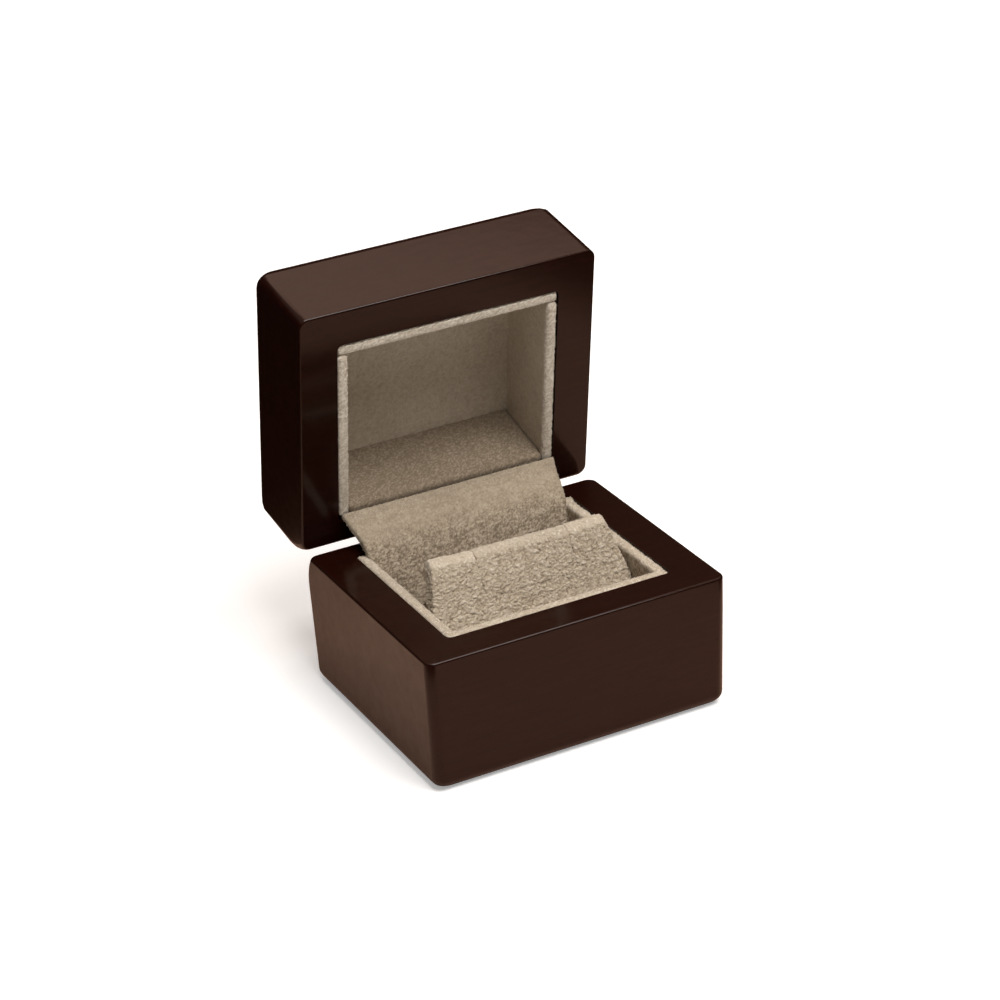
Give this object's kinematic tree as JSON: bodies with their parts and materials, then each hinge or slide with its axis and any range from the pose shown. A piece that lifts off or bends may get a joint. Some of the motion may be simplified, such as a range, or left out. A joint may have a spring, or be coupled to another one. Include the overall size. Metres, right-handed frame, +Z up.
{
  "type": "ring box",
  "caption": "Hinged wooden ring box in dark lacquer, shown open, with velour linings, a cover flap over the hinge and a ring pad with a slit tongue.",
  "frame": {"origin": "centre of the felt on the underside, at table height", "axes": "+X to the box's right as seen from the front, -Y towards the front where the lid opens, +Z up"},
  "size_m": [0.065, 0.0781, 0.0843],
  "materials": {
    "lacquered_wood": "semi-gloss dark lacquer",
    "beige_velour": "short looped nap, matt",
    "hinge_brass": "satin",
    "hinge_steel": "satin",
    "underside_felt": "matt felt",
    "pad_foam": "foam, hidden inside the pad"
  },
  "bodies": {
    "base": {"base_shell": "lacquered_wood", "underside_felt": "underside_felt", "base_lining_left": "beige_velour", "base_lining_right": "beige_velour", "base_lining_front": "beige_velour", "base_lining_rear": "beige_velour", "base_lining_floor": "beige_velour", "hinge_leaf_base": "hinge_brass", "hinge_pin": "hinge_steel", "hinge_snap_spring": "hinge_steel", "hinge_screw_base_left": "hinge_brass", "hinge_screw_base_right": "hinge_brass", "spring_screw": "hinge_brass", "ring_pad_card": "beige_velour", "ring_pad_foam_wedge": "pad_foam"},
    "lid": {"lid_shell": "lacquered_wood", "lid_lining_left": "beige_velour", "lid_lining_right": "beige_velour", "lid_lining_front": "beige_velour", "lid_lining_rear": "beige_velour", "lid_lining_top": "beige_velour", "hinge_leaf_lid": "hinge_brass", "hinge_screw_lid_left": "hinge_brass", "hinge_screw_lid_right": "hinge_brass"},
    "flap": {"hinge_cover_flap": "beige_velour"},
    "tongue": {"ring_pad_tongue": "beige_velour"}
  },
  "joints": [
    {"name": "lid_hinge", "type": "hinge", "parent": "base", "child": "lid", "pos_m": [0, 0.0266, 0.0271], "axis": [1, 0, 0], "range_deg": [0, 80.8]},
    {"name": "flap_hinge", "type": "hinge", "parent": "lid", "child": "flap", "pos_m": [0, 0.02622, 0.03474], "axis": [1, 0, 0], "range_deg": [-65.2, 0]},
    {"name": "tongue_hinge", "type": "hinge", "parent": "base", "child": "tongue", "pos_m": [0.0006, -0.00588, 0.028], "axis": [1, 0, 0], "range_deg": [-12, 0], "stiffness_Nm_per_rad": 0.01}
  ],
  "couplings": [
    {"joint": "flap_hinge", "follows": "lid_hinge", "ratio": -0.8}
  ]
}
